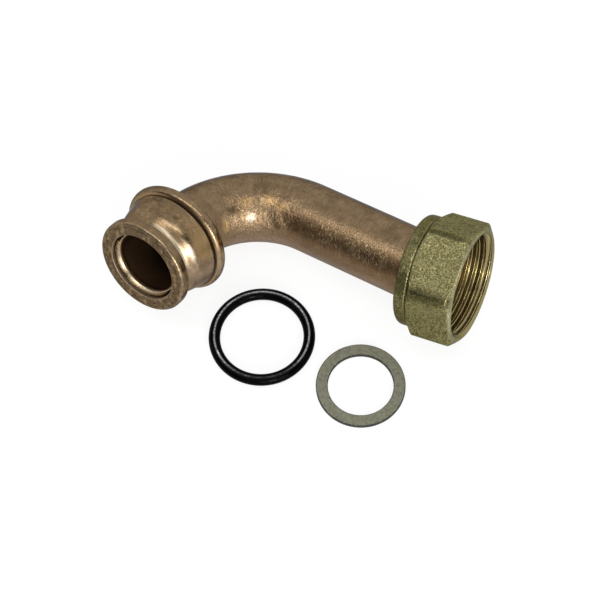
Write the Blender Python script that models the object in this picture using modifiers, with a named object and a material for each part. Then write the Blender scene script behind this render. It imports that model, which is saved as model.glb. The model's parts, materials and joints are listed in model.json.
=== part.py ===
"""Boiler connection elbow: a bent copper tube with a plug-in spigot and a loose brass union nut.

The O-ring that seals the spigot and the flat gasket that seals the union lie beside it. The
tube and its nut lean on the floor, z = 0, the way their own weight and outline make them.

The elbow is modelled in the plane of its bend: the axes of its two legs meet at the origin,
the spigot leg runs along -Y, the union leg along +X, and +Z is square to the bend.
"""

import math

import bmesh
import bpy
from mathutils import Matrix, Vector
from mathutils.geometry import intersect_point_tri

MM = 0.001

# Tube
TUBE_OD = 22.0 * MM
TUBE_WALL = 1.0 * MM
BEND_RADIUS = 28.8 * MM
SPIGOT_STRAIGHT = 0.3 * MM
UNION_STRAIGHT = 46.0 * MM

# Roll-formed spigot, from its lip back to its end bead, with the flare's share of the rise
# from the neck to the shoulder
LIP_DIAMETER = 31.7 * MM
LIP_LENGTH = 3.4 * MM
LIP_ROUND = 0.9 * MM
LIP_BACK = 0.6 * MM
NECK_DIAMETER = 25.4 * MM
NECK_LENGTH = 1.95 * MM
FLARE_LENGTH = 2.95 * MM
FLARE_SHARE = 0.615
SHOULDER_DIAMETER = 33.2 * MM
SHOULDER_LENGTH = 6.1 * MM
GROOVE_WIDTH = 0.9 * MM
GROOVE_DEPTH = 0.9 * MM
BEAD_DIAMETER = 36.6 * MM
BEAD_LENGTH = 3.2 * MM
BEAD_BACK = 0.3 * MM
BEAD_FILLET = 1.0 * MM

# Mouth of the spigot: how much wider than the water way it is, straight and then tapered in
MOUTH_ROOM = 1.5 * MM
MOUTH_DEPTH = 1.3 * MM
TAPER_ROOM = 0.7 * MM
TAPER_LENGTH = 1.4 * MM
TAPER_STEP = 0.25 * MM

# Formed collar that the union nut pulls against, and the room round it inside the thread
COLLAR_ROOM = 1.445 * MM
COLLAR_LENGTH = 2.0 * MM
COLLAR_ROUND = 0.4 * MM

# Union nut, G 1, with its wall over the thread at the middle of a flat
THREAD_MAJOR = 33.25 * MM
THREAD_DEPTH = 1.48 * MM
NUT_WALL = 0.875 * MM
NUT_LENGTH = 19.0 * MM
NUT_SHOULDER = 3.0 * MM
NUT_RELIEF = 2.4 * MM
NUT_MOUTH_CHAMFER = 1.0 * MM
NUT_BORE_CHAMFER = 0.8 * MM
HEX_SIDES = 6
HEX_CORNER_RADIUS = 2.4 * MM
HEX_CHAMFER_INSET = 0.15 * MM
HEX_CHAMFER_ANGLE = math.radians(30.0)
BOSS_LENGTH = 4.3 * MM
BOSS_INSET = 0.1 * MM
BOSS_ROUND = 1.8 * MM

# How the loose nut hangs on the tube: its drop off the tube's axis and its lean, in the plane
# of the bend and out of it, and the turn of its hexagon
NUT_DROP_IN_PLANE = 0.57 * MM
NUT_DROP_OUT = 0.5 * MM
NUT_LEAN_IN_PLANE = math.radians(8.3)
NUT_LEAN_OUT = math.radians(2.0)
NUT_TURN = math.radians(-20.9)

# Seals
O_RING_INNER = 25.8 * MM
O_RING_SECTION = 3.65 * MM
GASKET_WIDTH = 3.65 * MM
GASKET_THICKNESS = 1.5 * MM
GASKET_EDGE = 0.15 * MM

# Where the seals lie on the floor, from the point below the corner of the elbow's leg axes,
# with +X along the nut
O_RING_PLACE = Vector((28.6 * MM, -43.5 * MM, 0.0))
GASKET_PLACE = Vector((63.0 * MM, -46.0 * MM, 0.0))

# The side that the elbow lies on: below the plane of its bend and outside the bend
LIES_TOWARDS = Vector((-1.0, 1.0, -1.0))

# Gap between pieces that touch
CLEARANCE = 0.3 * MM

# Densities in kilograms per cubic metre
COPPER_DENSITY = 8940.0
BRASS_DENSITY = 8500.0

# Facet counts
TUBE_SIDES = 36
BEND_STEPS = 12
ROUND_STEPS = 3
BEAD_STEPS = 6
NUT_STEPS = 60
CORNER_STEPS = 4
O_RING_STEPS = 56
O_RING_SIDES = 12
GASKET_STEPS = 60

# How far a cutter runs past the face that it opens
CUT_PAST = 1.0 * MM

# Sizes that follow from those above
TUBE_RADIUS = TUBE_OD / 2
BORE_RADIUS = TUBE_RADIUS - TUBE_WALL
NECK_START = LIP_LENGTH + LIP_BACK
FLARE_START = NECK_START + NECK_LENGTH
FLARE_DIAMETER = NECK_DIAMETER + FLARE_SHARE * (SHOULDER_DIAMETER - NECK_DIAMETER)
SHOULDER_START = FLARE_START + FLARE_LENGTH
GROOVE_START = SHOULDER_START + SHOULDER_LENGTH
BEAD_START = GROOVE_START + GROOVE_WIDTH
BEAD_END = BEAD_START + BEAD_LENGTH
SPIGOT_LENGTH = BEAD_END + BEAD_BACK + BEAD_FILLET
SPIGOT_LEG = BEND_RADIUS + SPIGOT_STRAIGHT + SPIGOT_LENGTH
UNION_LEG = BEND_RADIUS + UNION_STRAIGHT
THREAD_MINOR = THREAD_MAJOR - 2 * THREAD_DEPTH
HEX_ACROSS_FLATS = THREAD_MAJOR + 2 * NUT_WALL
COLLAR_DIAMETER = THREAD_MINOR - 2 * COLLAR_ROOM
GASKET_OUTER = COLLAR_DIAMETER
GASKET_INNER = GASKET_OUTER - 2 * GASKET_WIDTH
NUT_AXIS = Vector((
    math.cos(NUT_LEAN_IN_PLANE) * math.cos(NUT_LEAN_OUT),
    math.sin(NUT_LEAN_IN_PLANE) * math.cos(NUT_LEAN_OUT),
    math.sin(NUT_LEAN_OUT),
))
NUT_LEAN = math.acos(NUT_AXIS.x)
NUT_PLAY = math.hypot(NUT_DROP_IN_PLANE, NUT_DROP_OUT) + CLEARANCE
NUT_BORE = (TUBE_OD + 2 * NUT_PLAY + NUT_SHOULDER * math.sin(NUT_LEAN)) / math.cos(NUT_LEAN)
COLLAR_REACH = COLLAR_DIAMETER / 2 * math.sin(NUT_LEAN)
NUT_SEAT = UNION_LEG - COLLAR_LENGTH - (
    (NUT_SHOULDER / 2 + CLEARANCE + COLLAR_REACH) / math.cos(NUT_LEAN)
)


def clear_scene():
    """Remove every object that the file holds."""
    for old in list(bpy.data.objects):
        bpy.data.objects.remove(old, do_unlink=True)


def new_collection(name):
    """Return a new collection linked to the scene."""
    collection = bpy.data.collections.new(name)
    bpy.context.scene.collection.children.link(collection)
    return collection


def new_material(name, colour, roughness, metallic):
    """Return a Principled BSDF material."""
    material = bpy.data.materials.new(name)
    material.use_nodes = True
    shader = material.node_tree.nodes["Principled BSDF"]
    shader.inputs["Base Color"].default_value = (*colour, 1.0)
    shader.inputs["Roughness"].default_value = roughness
    shader.inputs["Metallic"].default_value = metallic
    return material


def new_empty(name, collection, parent=None):
    """Return an empty that other objects hang from."""
    empty = bpy.data.objects.new(name, None)
    empty.parent = parent
    collection.objects.link(empty)
    return empty


def arc(centre, radius, start, end, steps):
    """Return points on an arc, angles in degrees from the first axis."""
    turns = [math.radians(start + (end - start) * i / steps) for i in range(steps + 1)]
    return [
        (centre[0] + radius * math.cos(t), centre[1] + radius * math.sin(t)) for t in turns
    ]


def spigot_profile():
    """Return (distance behind the lip face, radius) along the outside of the spigot."""
    lip = LIP_DIAMETER / 2
    neck = NECK_DIAMETER / 2
    shoulder = SHOULDER_DIAMETER / 2
    bead_round = BEAD_LENGTH / 2
    bead_centre = (BEAD_START + bead_round, BEAD_DIAMETER / 2 - bead_round)
    points = arc((LIP_ROUND, lip - LIP_ROUND), LIP_ROUND, 180, 90, ROUND_STEPS)
    points += arc((LIP_LENGTH - LIP_ROUND, lip - LIP_ROUND), LIP_ROUND, 90, 0, ROUND_STEPS)
    points += [(NECK_START, neck), (FLARE_START, neck)]
    points += [(SHOULDER_START, FLARE_DIAMETER / 2), (GROOVE_START, shoulder)]
    points += [(GROOVE_START + GROOVE_WIDTH / 2, shoulder - GROOVE_DEPTH)]
    points += arc(bead_centre, bead_round, 180, 0, BEAD_STEPS)
    foot = (BEAD_END + BEAD_BACK + BEAD_FILLET, TUBE_RADIUS + BEAD_FILLET)
    points += arc(foot, BEAD_FILLET, 180, 270, ROUND_STEPS)
    return points


def collar_profile():
    """Return (distance behind the collar face, radius) along the outside of the collar."""
    collar = COLLAR_DIAMETER / 2
    points = [(COLLAR_LENGTH + COLLAR_ROUND, TUBE_RADIUS)]
    points += [(COLLAR_LENGTH, collar - COLLAR_ROUND)]
    points += [(COLLAR_LENGTH - COLLAR_ROUND, collar)]
    points += [(COLLAR_ROUND, collar)]
    points += [(0.0, collar - COLLAR_ROUND)]
    return points


def spigot_point(distance):
    """Return the point on the spigot leg's axis at a distance behind the lip face."""
    return Vector((0.0, distance - SPIGOT_LEG, 0.0))


def union_point(distance):
    """Return the point on the union leg's axis at a distance behind the collar face."""
    return Vector((UNION_LEG - distance, 0.0, 0.0))


def bend_points():
    """Return points on the axis of the bend, from the spigot leg to the union leg."""
    centre = (BEND_RADIUS, -BEND_RADIUS)
    return [Vector((x, y, 0.0)) for x, y in arc(centre, BEND_RADIUS, 180, 90, BEND_STEPS)]


def outer_stations():
    """Return (point, radius) along the outside of the whole tube."""
    stations = [(spigot_point(a), r) for a, r in spigot_profile()]
    stations += [(point, TUBE_RADIUS) for point in bend_points()]
    stations += [(union_point(a), r) for a, r in collar_profile()]
    return stations


def bore_stations():
    """Return (point, radius) along the water way, past both ends of the tube."""
    mouth = BORE_RADIUS + MOUTH_ROOM
    taper_end = MOUTH_DEPTH + TAPER_LENGTH
    stations = [(spigot_point(-CUT_PAST), mouth), (spigot_point(MOUTH_DEPTH), mouth)]
    stations += [(spigot_point(taper_end), BORE_RADIUS + TAPER_ROOM)]
    stations += [(spigot_point(taper_end + TAPER_STEP), BORE_RADIUS)]
    stations += [(point, BORE_RADIUS) for point in bend_points()]
    stations += [(union_point(-CUT_PAST), BORE_RADIUS)]
    return stations


def swept_tube(name, stations, sides, collection):
    """Return a closed mesh object swept along stations of (point, radius)."""
    curve = bpy.data.curves.new(name, "CURVE")
    curve.dimensions = "3D"
    curve.bevel_depth = TUBE_RADIUS
    curve.bevel_resolution = (sides - 4) // 2
    curve.use_fill_caps = True
    spline = curve.splines.new("POLY")
    spline.points.add(len(stations) - 1)
    for knot, (point, radius) in zip(spline.points, stations):
        knot.co = (*point, 1.0)
        knot.radius = radius / TUBE_RADIUS
    return curve_to_mesh(name, curve, collection)


def curve_to_mesh(name, curve, collection):
    """Turn a curve into a welded mesh object of the same name."""
    source = bpy.data.objects.new(name, curve)
    collection.objects.link(source)
    depsgraph = bpy.context.evaluated_depsgraph_get()
    mesh = bpy.data.meshes.new_from_object(source.evaluated_get(depsgraph))
    matrix = source.matrix_world.copy()
    bpy.data.objects.remove(source, do_unlink=True)
    welded = bmesh.new()
    welded.from_mesh(mesh)
    bmesh.ops.remove_doubles(welded, verts=welded.verts, dist=0.001 * MM)
    bmesh.ops.recalc_face_normals(welded, faces=welded.faces)
    welded.to_mesh(mesh)
    welded.free()
    mesh.name = name
    solid = bpy.data.objects.new(name, mesh)
    solid.matrix_world = matrix
    collection.objects.link(solid)
    return solid


def turned(name, profile, steps, collection):
    """Return an object turned about Z from (radius, height) points, top to bottom outside."""
    mesh = bpy.data.meshes.new(name)
    edges = [(i, (i + 1) % len(profile)) for i in range(len(profile))]
    mesh.from_pydata([(r, 0.0, z) for r, z in profile], edges, [])
    solid = bpy.data.objects.new(name, mesh)
    collection.objects.link(solid)
    screw = solid.modifiers.new("turn", "SCREW")
    screw.steps = steps
    screw.render_steps = steps
    screw.use_merge_vertices = True
    screw.merge_threshold = 0.001 * MM
    return solid


def on_axis(profile):
    """Close a profile along the axis, so that the turned shape is solid to its middle."""
    return [(0.0, profile[0][1])] + profile + [(0.0, profile[-1][1])]


def as_cutter(solid):
    """Show an object as a wire guide only."""
    solid.hide_render = True
    solid.display_type = "WIRE"
    return solid


def boolean(solid, cutter, operation):
    """Add an exact Boolean modifier."""
    modifier = solid.modifiers.new(f"{operation.lower()} {cutter.name}", "BOOLEAN")
    modifier.operation = operation
    modifier.solver = "EXACT"
    modifier.object = cutter


def shade(solid, material, angle=math.radians(30.0)):
    """Give an object its material and smooth shading with sharp edges kept."""
    solid.data.materials.clear()
    solid.data.materials.append(material)
    solid.data.shade_smooth()
    solid.data.set_sharp_from_angle(angle=angle)


def build_tube(parts, cutters, elbow):
    """Sweep the copper tube with its formed ends and cut its water way."""
    tube = swept_tube("elbow_tube", outer_stations(), TUBE_SIDES, parts)
    bore = as_cutter(swept_tube("tube_bore", bore_stations(), TUBE_SIDES, cutters))
    tube.parent = elbow
    bore.parent = elbow
    boolean(tube, bore, "DIFFERENCE")
    shade(tube, new_material("copper", (0.50, 0.32, 0.21), 0.36, 1.0))
    return tube


def hexagon_prism(collection):
    """Return the nut's blank: a rounded hexagon along Z, a little longer than the nut."""
    flat = HEX_ACROSS_FLATS / 2
    corner = (flat - HEX_CORNER_RADIUS) / math.cos(math.pi / HEX_SIDES)
    half_side = 180 / HEX_SIDES
    outline = []
    for side in range(HEX_SIDES):
        turn = 2 * half_side * side
        centre = Vector((corner, 0.0)) @ Matrix.Rotation(-math.radians(turn), 2)
        ends = (turn - half_side, turn + half_side)
        outline += arc(centre, HEX_CORNER_RADIUS, *ends, CORNER_STEPS)
    curve = bpy.data.curves.new("hexagon", "CURVE")
    curve.dimensions = "2D"
    curve.fill_mode = "BOTH"
    curve.extrude = NUT_LENGTH / 2 + CUT_PAST
    spline = curve.splines.new("POLY")
    spline.use_cyclic_u = True
    spline.points.add(len(outline) - 1)
    for knot, (x, y) in zip(spline.points, outline):
        knot.co = (x, y, 0.0, 1.0)
    blank = curve_to_mesh("union_nut", curve, collection)
    blank.data.transform(Matrix.Translation((0.0, 0.0, NUT_LENGTH / 2)))
    return blank


def nut_envelope():
    """Return (radius, height) points of the nut's turned outside, from its front to its back."""
    face = HEX_ACROSS_FLATS / 2 - HEX_CHAMFER_INSET
    boss = HEX_ACROSS_FLATS / 2 - BOSS_INSET
    wide = HEX_ACROSS_FLATS / 2 / math.cos(math.pi / HEX_SIDES) + CUT_PAST
    chamfer = (wide - face) * math.tan(HEX_CHAMFER_ANGLE)
    points = [(face, NUT_LENGTH), (wide, NUT_LENGTH - chamfer)]
    points += [(wide, BOSS_LENGTH + chamfer), (face, BOSS_LENGTH), (boss, BOSS_LENGTH)]
    points += arc((boss - BOSS_ROUND, BOSS_ROUND), BOSS_ROUND, 0, -90, ROUND_STEPS)
    return points


def nut_bore():
    """Return (radius, height) points of the nut's inside, past its front and its back."""
    bore = NUT_BORE / 2
    minor = THREAD_MINOR / 2
    major = THREAD_MAJOR / 2
    front = NUT_LENGTH + CUT_PAST
    points = [(major, front), (major, NUT_LENGTH)]
    points += [(minor, NUT_LENGTH - NUT_MOUTH_CHAMFER)]
    points += [(minor, NUT_SHOULDER + NUT_RELIEF + (major - minor))]
    points += [(major, NUT_SHOULDER + NUT_RELIEF), (major, NUT_SHOULDER)]
    points += [(bore, NUT_SHOULDER), (bore, NUT_BORE_CHAMFER)]
    points += [(bore + NUT_BORE_CHAMFER, 0.0), (bore + NUT_BORE_CHAMFER, -CUT_PAST)]
    return points


def build_nut(parts, cutters, elbow):
    """Make the hexagon union nut and hang it on the tube, leaning as far as its bore lets it."""
    nut = hexagon_prism(parts)
    envelope = as_cutter(turned("nut_envelope", on_axis(nut_envelope()), NUT_STEPS, cutters))
    bore = as_cutter(turned("nut_bore", on_axis(nut_bore()), NUT_STEPS, cutters))
    boolean(nut, envelope, "INTERSECT")
    boolean(nut, bore, "DIFFERENCE")
    shade(nut, new_material("brass", (0.42, 0.38, 0.17), 0.45, 1.0))

    across = NUT_AXIS.cross(Vector((0.0, 0.0, 1.0))).normalized()
    turn = Matrix((across, NUT_AXIS.cross(across), NUT_AXIS)).transposed().to_4x4()
    seat = new_empty("nut_seat", parts, elbow)
    hung = Matrix.Translation((NUT_SEAT, -NUT_DROP_IN_PLANE, -NUT_DROP_OUT))
    seat.matrix_basis = hung @ turn
    for solid in (nut, envelope, bore):
        solid.parent = seat
        solid.location = (0.0, 0.0, -NUT_SHOULDER / 2)
    nut.rotation_euler.z = NUT_TURN
    return nut


def build_o_ring(parts, floor):
    """Lay the spigot's O-ring on the floor."""
    bpy.ops.mesh.primitive_torus_add(
        major_radius=(O_RING_INNER + O_RING_SECTION) / 2,
        minor_radius=O_RING_SECTION / 2,
        major_segments=O_RING_STEPS,
        minor_segments=O_RING_SIDES,
    )
    ring = bpy.context.object
    ring.name = "o_ring"
    ring.data.name = "o_ring"
    for holder in list(ring.users_collection):
        holder.objects.unlink(ring)
    parts.objects.link(ring)
    ring.parent = floor
    ring.location = O_RING_PLACE + Vector((0.0, 0.0, O_RING_SECTION / 2))
    shade(ring, new_material("rubber", (0.012, 0.012, 0.013), 0.3, 0.0))
    return ring


def build_gasket(parts, floor):
    """Lay the union's flat gasket on the floor."""
    outer = GASKET_OUTER / 2
    inner = GASKET_INNER / 2
    top = GASKET_THICKNESS
    profile = [(outer - GASKET_EDGE, top), (outer, top - GASKET_EDGE), (outer, GASKET_EDGE)]
    profile += [(outer - GASKET_EDGE, 0.0), (inner + GASKET_EDGE, 0.0), (inner, GASKET_EDGE)]
    profile += [(inner, top - GASKET_EDGE), (inner + GASKET_EDGE, top)]
    gasket = turned("flat_gasket", profile, GASKET_STEPS, parts)
    gasket.parent = floor
    gasket.location = GASKET_PLACE
    shade(gasket, new_material("fibre", (0.21, 0.21, 0.14), 0.9, 0.0))
    return gasket


def world_mesh(solid):
    """Return the evaluated mesh of an object as world points and corner triples."""
    depsgraph = bpy.context.evaluated_depsgraph_get()
    evaluated = solid.evaluated_get(depsgraph)
    mesh = evaluated.to_mesh()
    mesh.calc_loop_triangles()
    points = [solid.matrix_world @ vertex.co for vertex in mesh.vertices]
    corners = [tuple(triangle.vertices) for triangle in mesh.loop_triangles]
    evaluated.to_mesh_clear()
    return points, corners


def weigh(points, corners, density):
    """Return the mass of a closed mesh and its mass times its centre."""
    mass = 0.0
    moment = Vector()
    for i, j, k in corners:
        share = density * points[i].dot(points[j].cross(points[k])) / 6
        mass += share
        moment += share * (points[i] + points[j] + points[k]) / 4
    return mass, moment


def resting_face(points, centre):
    """Return the outward normal of the stable hull face on the side that the elbow lies on."""
    hull = bmesh.new()
    for point in points:
        hull.verts.new(point)
    bmesh.ops.convex_hull(hull, input=hull.verts)
    bmesh.ops.recalc_face_normals(hull, faces=hull.faces)
    stable = []
    for face in hull.faces:
        if intersect_point_tri(centre, *(vertex.co for vertex in face.verts)):
            stable.append(face.normal.copy())
    hull.free()
    return max(stable, key=LIES_TOWARDS.dot)


def settle(elbow, tube, nut):
    """Rest the elbow on the floor on its bend, its bead and its nut, with the nut along +X."""
    bpy.context.view_layer.update()
    points = []
    mass = 0.0
    moment = Vector()
    for solid, density in ((tube, COPPER_DENSITY), (nut, BRASS_DENSITY)):
        solid_points, corners = world_mesh(solid)
        solid_mass, solid_moment = weigh(solid_points, corners, density)
        points += solid_points
        mass += solid_mass
        moment += solid_moment
    down = resting_face(points, moment / mass)
    lay = down.rotation_difference(Vector((0.0, 0.0, -1.0))).to_matrix()
    along = lay @ NUT_AXIS
    turn = Matrix.Rotation(-math.atan2(along.y, along.x), 3, "Z") @ lay
    lowest = min((turn @ point).z for point in points)
    elbow.matrix_basis = Matrix.Translation((0.0, 0.0, -lowest)) @ turn.to_4x4()


def centre_on_floor(floor, solids):
    """Shift the floor's empty so that the middle of everything's outline is at the origin."""
    bpy.context.view_layer.update()
    points = [point for solid in solids for point in world_mesh(solid)[0]]
    for axis in (0, 1):
        values = [point[axis] for point in points]
        floor.location[axis] -= (min(values) + max(values)) / 2
    bpy.context.view_layer.update()


def main():
    """Build the elbow, its nut and its seals, and rest them on the floor."""
    clear_scene()
    parts = new_collection("connection_elbow")
    cutters = new_collection("cutters")
    floor = new_empty("floor", parts)
    elbow = new_empty("elbow_frame", parts, floor)
    tube = build_tube(parts, cutters, elbow)
    nut = build_nut(parts, cutters, elbow)
    ring = build_o_ring(parts, floor)
    gasket = build_gasket(parts, floor)
    settle(elbow, tube, nut)
    centre_on_floor(floor, (tube, nut, ring, gasket))


main()
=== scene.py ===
"""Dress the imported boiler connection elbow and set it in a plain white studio.

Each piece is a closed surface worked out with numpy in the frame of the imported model, and it
stands for one of the model's nodes: a satin copper tube, a blasted brass union nut with its
thread, a gloss rubber O-ring and a matt fibre gasket. Lengths are in metres unless they are
said to be in millimetres.
"""

import json
import logging
from dataclasses import dataclass
from enum import Enum

import bpy
import numpy as np
from bpy.types import Material, Node, NodeSocket, NodeTree, Object
from mathutils import Matrix, Vector


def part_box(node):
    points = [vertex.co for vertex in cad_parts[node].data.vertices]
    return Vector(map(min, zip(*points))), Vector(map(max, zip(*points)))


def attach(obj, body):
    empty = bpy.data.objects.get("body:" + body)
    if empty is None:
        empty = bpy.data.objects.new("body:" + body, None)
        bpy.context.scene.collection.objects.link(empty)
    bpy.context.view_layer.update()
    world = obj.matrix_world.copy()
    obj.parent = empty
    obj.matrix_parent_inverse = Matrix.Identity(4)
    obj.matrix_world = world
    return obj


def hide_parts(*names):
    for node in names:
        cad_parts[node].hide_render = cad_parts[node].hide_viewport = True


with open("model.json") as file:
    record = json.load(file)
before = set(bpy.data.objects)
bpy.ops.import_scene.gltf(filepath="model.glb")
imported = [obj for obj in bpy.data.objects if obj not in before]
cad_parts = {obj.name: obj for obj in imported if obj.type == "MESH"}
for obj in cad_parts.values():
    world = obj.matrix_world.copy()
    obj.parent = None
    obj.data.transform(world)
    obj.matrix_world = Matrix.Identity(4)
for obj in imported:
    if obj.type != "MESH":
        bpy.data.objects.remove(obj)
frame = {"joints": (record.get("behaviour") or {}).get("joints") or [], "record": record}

MM = 0.001
TURN = 2 * np.pi
SAME_POINT = 0.001 * MM
LOG = logging.getLogger("connection_elbow")

Array = np.ndarray
Pair = tuple[float, float]
Triple = tuple[float, float, float]
Colour = Triple
ORIGIN: Triple = (0.0, 0.0, 0.0)


class Piece(Enum):
    """The pieces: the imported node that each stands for, its body and its material slot."""

    TUBE = ("elbow_tube", "elbow", "copper")
    NUT = ("union_nut", "nut", "brass")
    O_RING = ("o_ring", "o_ring_seal", "rubber")
    GASKET = ("flat_gasket", "gasket_seal", "fibre")


class Attribute(Enum):
    """What the meshes carry for their materials to read."""

    SHAPE = "shape_place"
    RIDGE = "ridge"


def unit(vectors: Array) -> Array:
    """Return vectors, along the last axis, scaled to length one."""
    return vectors / np.linalg.norm(vectors, axis=-1, keepdims=True)


def turns(count: int) -> Array:
    """Return one whole turn in equal steps."""
    return np.linspace(0, TURN, count, endpoint=False)


def grid(*coordinates: Array) -> Array:
    """Return points whose coordinates are arrays that fit one another."""
    return np.stack(np.broadcast_arrays(*coordinates), axis=-1)


def revolved(radius: Array, turn: Array, height: Array) -> Array:
    """Return the points (r cos t, r sin t, h)."""
    return grid(radius * np.cos(turn), radius * np.sin(turn), height)


def smooth_least(first: Array, second: Array, reach: float) -> Array:
    """Return the lesser of two arrays with the corner between them rounded.

    The lesser value is lowered by reach * h^2 / 4, where h falls from one to zero as the two
    values part by the reach.

    Args:
        first: One array.
        second: The other array, which may have another shape that fits it.
        reach: How far apart the values are when the rounding ends.

    Returns:
        The rounded lesser values.
    """
    near = np.clip(1 - np.abs(first - second) / reach, 0, None)
    return np.minimum(first, second) - reach * near ** 2 / 4


@dataclass(frozen=True)
class Place:
    """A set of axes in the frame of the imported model."""

    origin: Array
    axes: Array

    def world(self, local: Array) -> Array:
        """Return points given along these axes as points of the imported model."""
        return self.origin + local @ self.axes


def anchor(name: str) -> tuple[Array, Array]:
    """Return the position and the axis of one of the record's mounts or joints."""
    rows = [*frame["record"]["mounts"], *frame["joints"]]
    found = next(row for row in rows if row["name"] == name)
    return np.array(found["pos_m"]), unit(np.array(found["axis"], float))


class Profile:
    """A closed outline of (distance along an axis, radius) points."""

    def __init__(self, corners: list[Triple], steps: int, longest: float):
        """Round the corners of an outline and share out its sides.

        Args:
            corners: Distance, radius and reach of the rounding at each corner.
            steps: Number of points on each rounding.
            longest: The longest side to leave undivided.
        """
        table = np.array(corners)
        self.points = self.divided(self.rounded(table[:, :2], table[:, 2], steps), longest)

    @staticmethod
    def rounded(corners: Array, reaches: Array, steps: int) -> Array:
        """Round each corner.

        A corner P becomes (1-u)^2 A + 2u(1-u) P + u^2 B with u from 0 to 1, where A and B lie
        on the sides that meet at P, at the corner's reach from it.

        Args:
            corners: The corners in order.
            reaches: How far the rounding reaches from each corner.
            steps: Number of points on each rounding.

        Returns:
            The rounded outline with no point twice.
        """
        start = corners + reaches[:, None] * unit(np.roll(corners, 1, axis=0) - corners)
        end = corners + reaches[:, None] * unit(np.roll(corners, -1, axis=0) - corners)
        share = np.linspace(0, 1, steps)[None, :, None]
        curve = (1 - share) ** 2 * start[:, None] + share ** 2 * end[:, None]
        curve = (curve + 2 * share * (1 - share) * corners[:, None]).reshape(-1, 2)
        sides = np.linalg.norm(np.roll(curve, -1, axis=0) - curve, axis=1)
        return curve[sides > SAME_POINT]

    @staticmethod
    def divided(outline: Array, longest: float) -> Array:
        """Add points on the long sides of a closed outline.

        Args:
            outline: The points in order.
            longest: The longest side to leave undivided.

        Returns:
            The outline with each long side cut into equal shares.
        """
        step = np.roll(outline, -1, axis=0) - outline
        counts = np.ceil(np.linalg.norm(step, axis=1) / longest).astype(int)
        first = np.repeat(np.cumsum(counts) - counts, counts)
        side = np.repeat(np.arange(len(outline)), counts)
        share = (np.arange(counts.sum()) - first) / counts[side]
        return outline[side] + share[:, None] * step[side]


def ring_normals(points: Array) -> Array:
    """Return the normals of a grid of points that closes on itself both ways.

    The normal is the cross product of the central differences along the grid's two ways.
    """
    along = np.roll(points, -1, axis=0) - np.roll(points, 1, axis=0)
    around = np.roll(points, -1, axis=1) - np.roll(points, 1, axis=1)
    return unit(np.cross(along, around))


def ridges(points: Array, outward: Array, width: float) -> Array:
    """Return how sharply a closed grid of points bends, from -1 in a groove to 1 on a ridge.

    Each way along the grid, the unit steps to the two neighbours add up to the angle that the
    surface bends through. That angle over the steps' mean length is the curvature, and the two
    ways' curvatures times the width are added and kept within -1 and 1.

    Args:
        points: The grid, with rows and columns that close on themselves.
        outward: Its outward normals.
        width: Radius of a rounding that counts as fully sharp.

    Returns:
        One number for each point.
    """
    total = np.zeros(points.shape[:2])
    for axis in (0, 1):
        ahead = np.roll(points, -1, axis=axis) - points
        behind = np.roll(points, 1, axis=axis) - points
        length = np.linalg.norm(ahead, axis=-1) + np.linalg.norm(behind, axis=-1)
        bend = -np.sum((unit(ahead) + unit(behind)) * outward, axis=-1)
        total += 2 * bend / length
    return np.clip(total * width, -1, 1)


def skin(piece: Piece, points: Array, shape_place: Array, width: float) -> Object:
    """Make the mesh object of a piece from a grid that closes on itself both ways.

    Point (i, j) is a corner of the quad (i, j), (i, j+1), (i+1, j+1), (i+1, j), with the row
    and the column counted on from the first after the last. The quads are turned over if the
    volume that they enclose comes out negative.

    Args:
        piece: The piece that the mesh is for.
        points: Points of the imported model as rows, columns and coordinates.
        shape_place: The same points in the piece's own frame, for patterns to follow.
        width: Radius of a rounding that counts as a sharp edge.

    Returns:
        The new object, linked to the scene.
    """
    rows, columns = points.shape[:2]
    index = np.arange(rows * columns).reshape(rows, columns)
    below = np.roll(index, -1, axis=0)
    quads = np.stack([index, np.roll(index, -1, axis=1), np.roll(below, -1, axis=1), below], -1)
    quads = quads.reshape(-1, 4)
    flat = points.reshape(-1, 3)
    a, b, c, d = (flat[quads[:, corner]] for corner in range(4))
    volume = np.sum(a * np.cross(b, c)) + np.sum(a * np.cross(c, d))
    side = np.sign(volume)
    if side < 0:
        quads = quads[:, ::-1]

    mesh = bpy.data.meshes.new(piece.value[0])
    mesh.vertices.add(len(flat))
    mesh.vertices.foreach_set("co", flat.ravel())
    mesh.loops.add(quads.size)
    mesh.loops.foreach_set("vertex_index", quads.ravel())
    mesh.polygons.add(len(quads))
    mesh.polygons.foreach_set("loop_start", np.arange(0, quads.size, 4))
    mesh.update(calc_edges=True)
    mesh.validate()
    mesh.shade_smooth()

    outward = -side * ring_normals(points)
    followed = mesh.attributes.new(Attribute.SHAPE.value, "FLOAT_VECTOR", "POINT")
    followed.data.foreach_set("vector", shape_place.ravel())
    edge = mesh.attributes.new(Attribute.RIDGE.value, "FLOAT", "POINT")
    edge.data.foreach_set("value", ridges(points, outward, width).ravel())

    solid = bpy.data.objects.new(f"{piece.value[0]}_dressed", mesh)
    bpy.context.scene.collection.objects.link(solid)
    return solid


@dataclass(frozen=True)
class Band:
    """A stretch of lengths in millimetres: its two ends and how soft they are."""

    low: float
    high: float
    soft: float


@dataclass(frozen=True)
class Ramp:
    """Two lengths in millimetres between which a mask grows from nothing to full."""

    start: float
    full: float


@dataclass(frozen=True)
class Cloud:
    """A cloudy pattern: its scale and the noise values at which it begins and is full."""

    scale: float
    low: float = 0.45
    high: float = 0.65


@dataclass(frozen=True)
class Lines:
    """A pattern of scratches: its stretch along each axis, its cover and how wide a line is."""

    stretch: Triple
    share: float
    thin: float


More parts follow.
